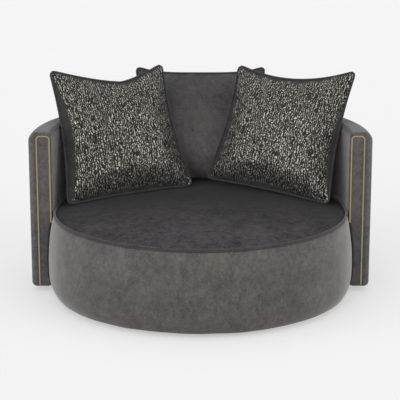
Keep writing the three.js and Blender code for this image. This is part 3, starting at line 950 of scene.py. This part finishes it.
def brushed_pile(place, cool, warm, size, contrast):
    """Velvet: brushed patches, a warm and a cool cast, short fibres."""
    patches = noise_value(place, size, detail=4.0, roughness=0.62, distortion=0.6)
    slanted = stretched(place, scale=(1.0, 1.0, 0.8), turn=(0.6, 0.5, 0.3))
    strokes = noise_value(slanted, size * STROKE_FINENESS, detail=4.0, roughness=0.72, distortion=0.5)
    grain = noise_value(place, size * GRAIN_FINENESS, detail=4.0, roughness=0.85)
    fibres = noise_value(place, FIBRE_SCALE, roughness=0.7)
    cast = noise_value(place, size * CAST_FINENESS)
    tone = mixed(remap(cast, 0.36, 0.64), cool, warm)
    brushed = patches * PATCH_SHARE + strokes * STROKE_SHARE + grain * GRAIN_SHARE
    swing = (brushed - NOISE_MIDDLE) * (contrast * CONTRAST_GAIN)
    return {
        "Colour": shaded(tone, swing + 1.0),
        "Roughness": remap(brushed, 0.3, 0.7, new_low=0.95, new_high=0.8),
        "Height": fibres * FIBRE_SHARE + brushed * (1 - FIBRE_SHARE),
    }


def velvet_material(name, look, colours, patch_size, contrast, sheen, gloss=0.2, painted_light=()):
    """Brushed velvet; each entry of its painted light (axis, from, to, share) scales its colour along an
    axis, as painted shade or painted highlight.
    """
    material, shader, place = new_material(name)
    pile = grouped("Brushed pile", brushed_pile, {
        "Place": place,
        "Colour": getattr(look, colours + "_cool"),
        "Other colour": getattr(look, colours + "_warm"),
        "Patch size": patch_size,
        "Contrast": contrast,
    })
    colour = pile["Colour"]
    parts = dict(zip("XYZ", axes(place)))
    # Painted shade and light: the colour is made darker or lighter along an axis, where shadow, occlusion or
    # side light falls
    for axis, near, far, share in painted_light:
        off = maths("ABSOLUTE", parts[axis]) if axis == "X" else parts[axis]
        colour = shaded(colour, remap(off, near, far, 1.0, share))
    feed(shader, {
        "Base Color": colour,
        "Roughness": pile["Roughness"],
        "Sheen Weight": sheen,
        "Sheen Roughness": SHEEN_ROUGHNESS,
        "Specular IOR Level": gloss,
    })
    bump(shader, pile["Height"], strength=0.35, distance=0.0006)
    return material


# Painted shade and light on the velvets, which stand in for shadow, occlusion and side light: axis, from, to,
# and its share of the light at the end
SHADE_DEPTH = 0.035
SHADE_EDGE = 0.005
WELT_SHADE = 0.006
SEAT_SHADE_BACK = 0.1
BACK_SHADE_TOP = 0.9
BACK_SHADE_FOOT = 0.16
TRIM_OUTSIDE = SHELL_RADIUS - SHADE_DEPTH
UNDER_WELT = WELT_HEIGHT - WELT_SHADE
# Painted shade on the drum wall: darker towards its foot, and a painted shadow line in the seam under the
# welt
WALL_PAINTED_SHADE = [("Z", WELT_HEIGHT, 0.0, 0.85), ("Z", UNDER_WELT - WELT_SHADE, UNDER_WELT, 0.3)]
# Painted shade on the seat: darker towards the back, where the cushions shade it
SEAT_PAINTED_SHADE = [("Y", -BULGE_RADIUS, SEAT_SHADE_BACK, 0.12)]
# Painted shade on the shell: darker along its top
SHELL_PAINTED_SHADE = [("Z", SHELL_TOP - SHADE_DEPTH, SHELL_TOP - SHADE_EDGE, 0.36)]
# Painted light and shade on the back cushion: lightest at its foot, against the seat's shadow, and darker
# upwards to its top
BACK_PAINTED_LIGHT_AND_SHADE = [("Z", SEAT_HIGH, BACK_SHADE_TOP, 0.4), ("Z", SEAT_HIGH, SEAT_HIGH + BACK_SHADE_FOOT, 0.8)]
# Painted shade and highlight on the arm fronts: a darker line beside the trim, and lighter towards the outer
# edge, as side light would fall
ARM_PAINTED_LIGHT_AND_SHADE = [("X", TRIM_OUTSIDE - SHADE_EDGE, TRIM_OUTSIDE, 0.75), ("X", TRIM_OUTSIDE, SHELL_RADIUS, 1.9)]

# Chenille: the threads' columns and dashes, and the plain bands beside the seams; lengths in metres
THREAD_PITCH = 0.0107
WANDER = 0.05
WAVER = 0.016
COLUMN_STEP = 7.31
DASHES_PER_METRE = 52.0
PATCH_SWING = 0.2
COLUMN_POWER = 1.4
COLUMN_DROP = 1.6
FRAY_SWING = 0.16
FRAY_SHARE = 0.35
PLAIN_EDGE = 0.294
PLAIN_FADE = 0.012
PLAIN_RAGGED = 0.03
PLAIN_BOW = 0.034
PLAIN_WIDEST = -0.07
TOP_BOW = 0.012
RIGHT_BAND_LESS = 0.022
THREAD_METAL = 0.6
THREAD_RELIEF_SHARE = 0.6


def broken_columns(place, pitch):
    """Upright threads in narrow columns, each broken into dashes at its own places."""
    across, up, _ = axes(place)
    wander = noise_value(place, 14.0) - NOISE_MIDDLE
    waver = noise_value(place, 60.0) - NOISE_MIDDLE
    across = (across + (wander * WANDER + waver * WAVER)) / pitch
    column = maths("FLOOR", across)
    off_middle = maths("ABSOLUTE", maths("FRACT", across) - 0.5)
    own = {"X": column * COLUMN_STEP, "Y": up * DASHES_PER_METRE}
    dashes = noise_value(wire(place.tree, "ShaderNodeCombineXYZ", own), 1.0, roughness=0.5)
    patch = noise_value(stretched(place, (40.0, 18.0, 1.0)), 1.0, detail=3.0, roughness=0.6)
    fray = noise_value(place, 300.0, roughness=0.7)
    spots = noise_value(place, 130.0, detail=1.0, roughness=0.6)
    level = dashes + (patch - NOISE_MIDDLE) * PATCH_SWING
    level = level - maths("POWER", off_middle, COLUMN_POWER) * COLUMN_DROP
    level = level + (fray - NOISE_MIDDLE) * FRAY_SWING
    # Tone places the painted glints along the dashes
    return {"Thread": remap(level, 0.31, 0.36), "Tone": fray * FRAY_SHARE + spots * (1 - FRAY_SHARE)}


def plain_band(off, along, bow_depth):
    """1 on the patterned side of a plain band, which is widest a little below halfway along its edge."""
    share = (along - PLAIN_WIDEST) / (CUSHION_WIDTH / 2 - PLAIN_WIDEST)
    bowed = off + (1.0 - share * share) * bow_depth
    return remap(bowed, PLAIN_EDGE, PLAIN_EDGE + PLAIN_FADE, 1.0, 0.0)


def plain_edge_mask(flat):
    """1 where the threads run and 0 in the bands beside the four seams, with a ragged edge."""
    across, up, _ = axes(flat)
    ragged = (noise_value(flat, 60.0, detail=3.0, roughness=0.7) - NOISE_MIDDLE) * PLAIN_RAGGED
    mask = 1.0
    for off in (ragged - across, across + ragged - RIGHT_BAND_LESS):
        mask = plain_band(off, up, PLAIN_BOW) * mask
    for off in (up + ragged, ragged - up):
        mask = plain_band(off, across, TOP_BOW) * mask
    return mask


def chenille_material(name, look):
    """Dark chenille with broken upright dashes of a pale metallic thread, placed by the cloth's own UV."""
    material, shader, place = new_material(name)
    flat = wire(place.tree, "ShaderNodeUVMap", {}, uv_map="UVMap")
    columns = grouped("Broken columns", broken_columns, {"Place": flat, "Pitch": THREAD_PITCH})
    inside = plain_edge_mask(flat)
    thread = columns["Thread"] * inside
    # Painted glints: each dash's tone picks, at random, between a dull and a bright copy of the metallic
    # thread's colour
    painted_glint = mixed(remap(columns["Tone"], 0.43, 0.63), look.thread_painted_dull, look.thread_painted_glint)
    nap = noise_value(flat, 260.0, detail=3.0, roughness=0.7)
    ground = mixed(remap(nap, 0.3, 0.7), look.chenille_dark, look.chenille_light)
    ground = mixed(inside, look.chenille_plain, ground)
    feed(shader, {
        "Base Color": mixed(thread, ground, painted_glint),
        "Metallic": thread * THREAD_METAL,
        "Roughness": remap(thread, 0.0, 1.0, new_low=0.9, new_high=0.42),
        "Specular IOR Level": 0.2,
    })
    height = thread * THREAD_RELIEF_SHARE + nap * (1 - THREAD_RELIEF_SHARE)
    bump(shader, height, strength=0.6, distance=0.0012)
    return material


STREAK_SHARE = 0.7


def wood_grain(place, light, dark):
    """Wood grain: long streaks along Z, and pores."""
    streaks = noise_value(stretched(place, (22.0, 22.0, 1.6)), 1.0, detail=4.0, roughness=0.6, distortion=0.4)
    pores = noise_value(stretched(place, (420.0, 420.0, 18.0)), 1.0, roughness=0.6)
    mark = streaks * STREAK_SHARE + pores * (1 - STREAK_SHARE)
    return {"Colour": mixed(remap(mark, 0.35, 0.68), dark, light), "Height": mark}


def wood_material(name, light, dark, roughness):
    material, shader, place = new_material(name)
    grain = grouped("Wood grain", wood_grain, {"Place": place, "Colour": light, "Other colour": dark})
    feed(shader, {"Base Color": grain["Colour"], "Roughness": roughness})
    bump(shader, grain["Height"], strength=0.2, distance=0.0004)
    return material


SMUDGE_SWING = 0.25


def brushed_metal(place, colour, polish):
    """Brushed metal: fine lines along Z, raised by the bump and painted a touch lighter and darker as painted
    light catching on them, and faint smudges.
    """
    lines = noise_value(stretched(place, (1500.0, 1500.0, 30.0)), 1.0)
    smudge = noise_value(place, 14.0, detail=3.0)
    dull = (smudge - NOISE_MIDDLE) * SMUDGE_SWING
    return {
        "Colour": shaded(colour, remap(lines, 0.2, 0.8, new_low=0.9, new_high=1.06)),
        "Roughness": maths("ADD", polish, dull, clamp=True),
        "Height": lines,
    }


def metal_material(name, colour, polish):
    material, shader, place = new_material(name)
    values = {"Place": place, "Colour": colour, "Polish": polish}
    metal = grouped("Brushed metal", brushed_metal, values)
    feed(shader, {"Base Color": metal["Colour"], "Roughness": metal["Roughness"], "Metallic": 1.0})
    bump(shader, metal["Height"], strength=0.1, distance=0.0002)
    return material


def plain_weave(place, light, dark, thread):
    """A plain weave of two threads crossing, in the plane of the cloth's X and Y."""
    pace = math.pi / thread
    across, along, _ = axes(place)
    cross = maths("SINE", across * pace) * maths("SINE", along * pace)
    height = cross * 0.5 + noise_value(place, 700.0)
    return {"Colour": mixed(remap(height, 0.1, 0.9), dark, light), "Height": height}


def woven_material(name, light, dark, thread):
    material, shader, place = new_material(name)
    values = {"Place": place, "Colour": light, "Other colour": dark, "Thread": thread}
    weave = grouped("Plain weave", plain_weave, values)
    feed(shader, {"Base Color": weave["Colour"], "Roughness": 0.92})
    bump(shader, weave["Height"], strength=0.5, distance=thread / 3)
    return material


WORN_GAIN = 2.2


def plastic_material(name, colour):
    material, shader, place = new_material(name)
    texture = noise_value(place, 600.0, roughness=0.6)
    scuffs = noise_value(place, 60.0, detail=4.0, roughness=0.7)
    worn = [min(1.0, WORN_GAIN * channel) for channel in colour]
    feed(shader, {
        "Base Color": mixed(remap(scuffs, 0.5, 0.75), colour, worn),
        "Roughness": remap(scuffs, 0.3, 0.7, new_low=0.42, new_high=0.62),
    })
    bump(shader, texture, strength=0.2, distance=0.0003)
    return material


def finish(name, look):
    """The material of that name, made the first time it is asked for."""
    made = bpy.data.materials.get(name)
    if made:
        return made
    velvets = {
        # name: colours, patch size, contrast, sheen, gloss, painted shade and light
        # Darker colour copies on the seat, welt and pipings are painted shade; lighter copies on the shell
        # and back cushion are painted light
        "Wall velvet": ("velvet", 9.0, 1.0, 0.8, 0.2, WALL_PAINTED_SHADE),
        "Welt velvet": ("seat", 9.0, 0.6, 0.35, 0.1),
        "Seat velvet": ("seat", 9.0, 1.7, 0.1, 0.05, SEAT_PAINTED_SHADE),
        "Shell velvet": ("shell", 10.0, 0.8, 0.35, 0.2, SHELL_PAINTED_SHADE),
        "Arm front velvet": ("arm", 10.0, 0.8, 0.35, 0.2, ARM_PAINTED_LIGHT_AND_SHADE),
        "Piping velvet": ("piping", 8.0, 0.5, 0.15),
        "Back cushion velvet": ("cushion", 8.0, 0.7, 0.2, 0.2, BACK_PAINTED_LIGHT_AND_SHADE),
        "Cushion velvet": ("piping", 8.0, 0.7, 0.2),
    }
    if name in velvets:
        return velvet_material(name, look, *velvets[name])
    others = {
        "Dashed chenille": lambda: chenille_material(name, look),
        "Pine": lambda: wood_material(name, (0.62, 0.43, 0.22), (0.42, 0.26, 0.12), 0.7),
        "Plywood": lambda: wood_material(name, (0.55, 0.38, 0.2), (0.36, 0.23, 0.11), 0.65),
        "Hardboard": lambda: wood_material(name, (0.2, 0.11, 0.055), (0.14, 0.075, 0.038), 0.8),
        "Brass": lambda: metal_material(name, look.brass_colour, polish=0.28),
        "Steel": lambda: metal_material(name, (0.42, 0.43, 0.45), polish=0.4),
        "Webbing": lambda: woven_material(name, (0.05, 0.045, 0.042), (0.012, 0.011, 0.01), thread=0.0016),
        "Lining": lambda: woven_material(name, (0.03, 0.029, 0.029), (0.012, 0.012, 0.012), thread=0.0009),
        "Glide plastic": lambda: plastic_material(name, (0.012, 0.012, 0.012)),
    }
    return others[name]()


# Settings

def colour(label, default):
    return FloatVectorProperty(name=label, default=default, subtype="COLOR", size=3, min=0.0, max=1.0)


class ChairLook(PropertyGroup):
    """Sizes and colours that a user would change."""

    welt_thickness: FloatProperty(
        name="Welt", description="Thickness of the seat's welt", default=0.011, unit="LENGTH"
    )
    piping_thickness: FloatProperty(
        name="Piping", description="Thickness of the cushions' piping", default=0.009, unit="LENGTH"
    )
    # These are lit and shaded copies of one velvet: the drum wall and arm fronts hold its colour, the seat,
    # welt and pipings take darker copies as painted shade, and the shell and plain back cushion lighter
    # copies as painted light; the piping colours also dress the scatter cushions' backs
    velvet_cool: colour("Drum wall, cooler patches", (0.1, 0.094, 0.093))
    velvet_warm: colour("Drum wall, warmer patches", (0.104, 0.094, 0.086))
    seat_cool: colour("Seat, cooler patches", (0.053, 0.0485, 0.0525))
    seat_warm: colour("Seat, warmer patches", (0.056, 0.05, 0.052))
    arm_cool: colour("Arm fronts, cooler patches", (0.1, 0.094, 0.096))
    arm_warm: colour("Arm fronts, warmer patches", (0.104, 0.095, 0.092))
    cushion_cool: colour("Plain cushion, cooler patches", (0.187, 0.179, 0.184))
    cushion_warm: colour("Plain cushion, warmer patches", (0.194, 0.181, 0.18))
    shell_cool: colour("Shell, cooler patches", (0.15, 0.14, 0.144))
    shell_warm: colour("Shell, warmer patches", (0.155, 0.141, 0.138))
    piping_cool: colour("Pipings and scatter cushions' backs, cooler", (0.05, 0.047, 0.048))
    piping_warm: colour("Pipings and scatter cushions' backs, warmer", (0.052, 0.048, 0.047))
    chenille_plain: colour("Plain bands beside the threads", (0.045, 0.044, 0.045))
    chenille_dark: colour("Chenille's dark ground", (0.007, 0.007, 0.007))
    chenille_light: colour("Chenille's lighter ground", (0.036, 0.036, 0.034))
    # The metallic thread's real reflection comes from its shader; these two copies of its colour are mixed at
    # random as painted glints
    thread_painted_dull: colour("Metallic thread where it is dull", (0.038, 0.036, 0.031))
    thread_painted_glint: colour("Metallic thread where it shines", (0.52, 0.505, 0.44))
    brass_colour: colour("Metal of the arm trims", (0.36, 0.3, 0.17))
    ground_level: FloatProperty(
        name="Background", description="Brightness of floor and background", default=0.922, min=0.0, max=1.0
    )


# Operators

WALL_WAVE = 0.0022
WALL_GRAIN = 0.16
WALL_HELD = 0.03
WALL_SHIFT = Vector((2.0, 5.0, 1.0))


def below_welt(place):
    """How freely the wall's padding moves: not at all at the welt, and fully a little below it."""
    return min(1.0, max(0.0, (WALL_TOP - place.z) / WALL_HELD))


class CHAIR_OT_drum_wall(Operator):
    """Models the padded wall of the seat drum."""

    bl_idname = "chair.drum_wall"
    bl_label = "Drum wall"

    def execute(self, context):
        look = context.scene.chair_look
        wall = turned_ring("drum_wall", drum_wall_section())
        rumple(wall, WALL_WAVE, WALL_GRAIN, WALL_SHIFT, below_welt)
        dress(wall, finish("Wall velvet", look), "chair", "velvet", "drum_wall_cover", "drum_wall_padding")
        return {"FINISHED"}


class CHAIR_OT_seat(Operator):
    """Models the crowned seat pad and its welt."""

    bl_idname = "chair.seat"
    bl_label = "Seat and welt"

    def execute(self, context):
        look = context.scene.chair_look
        seat = turned_ring("seat_pad", seat_section(look))
        dress(seat, finish("Seat velvet", look), "chair", "velvet", "seat_cover", "seat_foam")
        cord = turned_ring("seat_welt_cord", welt_section(look))
        dress(cord, finish("Welt velvet", look), "chair", "velvet", "seat_welt")
        return {"FINISHED"}


class CHAIR_OT_underside(Operator):
    """Models the seat's webbing straps and the stapled dust cover under the drum."""

    bl_idname = "chair.underside"
    bl_label = "Webbing and dust cover"

    def execute(self, context):
        look = context.scene.chair_look
        names = [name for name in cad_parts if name.startswith("seat_strap")]
        if not names:
            self.report({"ERROR"}, "The frame has no webbing straps")
            return {"CANCELLED"}
        for name in sorted(names):
            web, width, length = strap(name)
            dress(web, finish("Webbing", look), "chair", "webbing", name)
        lining, radius, under = dust_cover()
        dress(lining, finish("Lining", look), "chair", "lining", "drum_dust_cover")
        row = staples(radius - STAPLE_WIDTH / 2, under + FABRIC / 4)
        dress(row, finish("Steel", look), "chair", "steel")
        return {"FINISHED"}


class CHAIR_OT_shell(Operator):
    """Models the outer and inner covers of the arm and back shell over their padding."""

    bl_idname = "chair.shell"
    bl_label = "Arm and back shell"

    def execute(self, context):
        look = context.scene.chair_look
        velvet = finish("Shell velvet", look)
        outside = half_ring("shell_outside", shell_outside_section())
        nodes = ("shell_outer_cover", "shell_outer_padding", "shell_top_padding")
        dress(outside, velvet, "chair", "velvet", *nodes)
        inside = half_ring("shell_inside", shell_inside_section())
        dress(inside, velvet, "chair", "velvet", "shell_inner_cover", "shell_inner_padding")
        return {"FINISHED"}


class CHAIR_OT_arm_fronts(Operator):
    """Models the flat upholstered front of each arm."""

    bl_idname = "chair.arm_fronts"
    bl_label = "Arm fronts"

    def execute(self, context):
        look = context.scene.chair_look
        for side, word in ((1, "right"), (-1, "left")):
            panel = arm_front("arm_front_" + word, side)
            dress(panel, finish("Arm front velvet", look), "chair", "velvet", "arm_front_cover_" + word)
        return {"FINISHED"}


class CHAIR_OT_cushions(Operator):
    """Models the back cushion and the two scatter cushions."""

    bl_idname = "chair.cushions"
    bl_label = "Cushions"

    def execute(self, context):
        look = context.scene.chair_look
        plain = finish("Back cushion velvet", look)
        cushion(BACK, look, plain, "velvet", plain)
        for form in (LEFT, RIGHT):
            chenille = finish("Dashed chenille", look)
            cushion(form, look, chenille, "patterned_velvet", finish("Cushion velvet", look))
        return {"FINISHED"}


NODE_FINISHES = {
    "drum_bottom_ring": "Plywood",
    "drum_top_ring": "Plywood",
    "drum_wall_board": "Hardboard",
    "drum_post": "Pine",
    "drum_cross_beam": "Pine",
    "shell_inner_board": "Hardboard",
    "shell_outer_board": "Hardboard",
    "shell_bottom_rail": "Plywood",
    "shell_top_rail": "Plywood",
    "shell_upright": "Pine",
    "arm_front_pad": "Plywood",
    "arm_trim": "Brass",
    "link_plate": "Steel",
    "glide": "Glide plastic",
}


class CHAIR_OT_frame_parts(Operator):
    """Gives the frame's own wood, metal and plastic pieces their finishes."""

    bl_idname = "chair.frame_parts"
    bl_label = "Frame finishes"

    def execute(self, context):
        look = context.scene.chair_look
        for name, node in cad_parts.items():
            found = [word for word in NODE_FINISHES if name.startswith(word)]
            if found:
                node.data.materials.clear()
                node.data.materials.append(finish(NODE_FINISHES[found[0]], look))
        return {"FINISHED"}


# Studio

CAMERA_DISTANCE = 6.4395
CAMERA_HEIGHT = 2.0493
CAMERA_TILT = math.radians(75.65)
CAMERA_LENS = 135.15
CAMERA_SHIFT = -0.0011
FLOOR_SIDE = 60.0
FLOOR_GREY = (0.8, 0.8, 0.8)
FLOOR_PALE = (0.81, 0.81, 0.81)
FLOOR_GLOW_SHARE = 0.3
FLOOR_GLOW_LEVEL = 1.58
WORLD_STRENGTH = 0.41
SUNS = {
    # name: direction, strength and softness in degrees
    "Top": ((0, -0.15, -1), 0.6, 60),
    "Key": ((0.4, 0.8, -0.3), 0.95, 50),
    "Fill": ((-0.6, 0.7, -0.2), 0.75, 60),
    "Left": ((1, 0.25, -0.25), 0.62, 40),
    "Right": ((-1, 0.25, -0.25), 0.52, 40),
}


def seen_by(tree, *rays):
    """1 for rays of these kinds."""
    outputs = add_node(tree, "ShaderNodeLightPath").outputs
    seen = Wire(outputs[rays[0]])
    for ray in rays[1:]:
        seen = maths("MAXIMUM", seen, Wire(outputs[ray]))
    return seen


def send_blend(share, first, second, output):
    """Sends a blend of two shader nodes to the output node."""
    inputs = {0: share, 1: Wire(first.outputs[0]), 2: Wire(second.outputs[0])}
    feed(output.inputs, {"Surface": wire(share.tree, "ShaderNodeMixShader", inputs)})


def floor_material(level):
    """A pale floor that looks as bright as the background, and keeps the chair's shadow."""
    material, shader, place = new_material("Studio floor")
    tree = material.node_tree
    grit = noise_value(place, 3.0)
    ground = mixed(grit, FLOOR_GREY, FLOOR_PALE)
    feed(shader, {"Base Color": ground, "Roughness": 0.9, "Specular IOR Level": 0.0})
    glow = add_node(tree, "ShaderNodeEmission", {"Color": [level] * 3, "Strength": FLOOR_GLOW_LEVEL})
    share = seen_by(tree, "Is Camera Ray", "Is Glossy Ray") * FLOOR_GLOW_SHARE
    send_blend(share, tree.nodes["Principled BSDF"], glow, tree.nodes["Material Output"])
    return material


def studio_world(level):
    """Soft light from all round; the camera and shiny surfaces see the pale background."""
    world = bpy.data.worlds.new("Studio")
    world.use_nodes = True
    tree = world.node_tree
    light = tree.nodes["Background"]
    feed(light.inputs, {"Color": (1, 1, 1), "Strength": WORLD_STRENGTH})
    pale = add_node(tree, "ShaderNodeBackground", {"Color": [level] * 3})
    share = seen_by(tree, "Is Camera Ray", "Is Glossy Ray", "Is Transmission Ray")
    send_blend(share, light, pale, tree.nodes["World Output"])
    bpy.context.scene.world = world


def sun(name, direction, strength, softness):
    """A soft far lamp shining along a direction."""
    lamp = bpy.data.lights.new(name, "SUN")
    lamp.energy = strength
    lamp.angle = math.radians(softness)
    placed(name, lamp).rotation_euler = Vector(direction).to_track_quat("-Z", "Y").to_euler()


class CHAIR_OT_stage(Operator):
    """Sets the camera, the floor, the lamps and the background."""

    bl_idname = "chair.stage"
    bl_label = "Studio"

    def execute(self, context):
        look = context.scene.chair_look
        scene = context.scene
        scene.view_settings.view_transform = "Standard"
        lens = bpy.data.cameras.new("Camera")
        lens.lens = CAMERA_LENS
        lens.shift_x = CAMERA_SHIFT
        camera = placed("Camera", lens)
        camera.location = (0, -CAMERA_DISTANCE, CAMERA_HEIGHT)
        camera.rotation_euler = (CAMERA_TILT, 0, 0)
        scene.camera = camera
        clear_selection()
        bpy.ops.mesh.primitive_plane_add(size=FLOOR_SIDE, location=(0, 0, 0))
        floor = context.object
        floor.name = "studio_floor"
        floor.data.materials.append(floor_material(look.ground_level))
        studio_world(look.ground_level)
        for name, values in SUNS.items():
            sun(name, *values)
        return {"FINISHED"}


class CHAIR_PT_panel(Panel):
    """Lists the chair's making steps."""

    bl_idname = "CHAIR_PT_panel"
    bl_label = "Cuddle chair"
    bl_space_type = "VIEW_3D"
    bl_region_type = "UI"
    bl_category = "Chair"

    def draw(self, context):
        for step in STEPS:
            self.layout.operator(step.bl_idname)
        for name in ChairLook.__annotations__:
            self.layout.prop(context.scene.chair_look, name)


STEPS = (
    CHAIR_OT_stage,
    CHAIR_OT_frame_parts,
    CHAIR_OT_drum_wall,
    CHAIR_OT_seat,
    CHAIR_OT_underside,
    CHAIR_OT_shell,
    CHAIR_OT_arm_fronts,
    CHAIR_OT_cushions,
)
CLASSES = (ChairLook, *STEPS, CHAIR_PT_panel)


def register():
    for each in CLASSES:
        bpy.utils.register_class(each)
    bpy.types.Scene.chair_look = PointerProperty(type=ChairLook)


def unregister():
    del bpy.types.Scene.chair_look
    for each in reversed(CLASSES):
        bpy.utils.unregister_class(each)


def main():
    register()
    for step in STEPS:
        getattr(bpy.ops.chair, step.bl_idname.split(".")[1])()


if __name__ == "__main__":
    main()
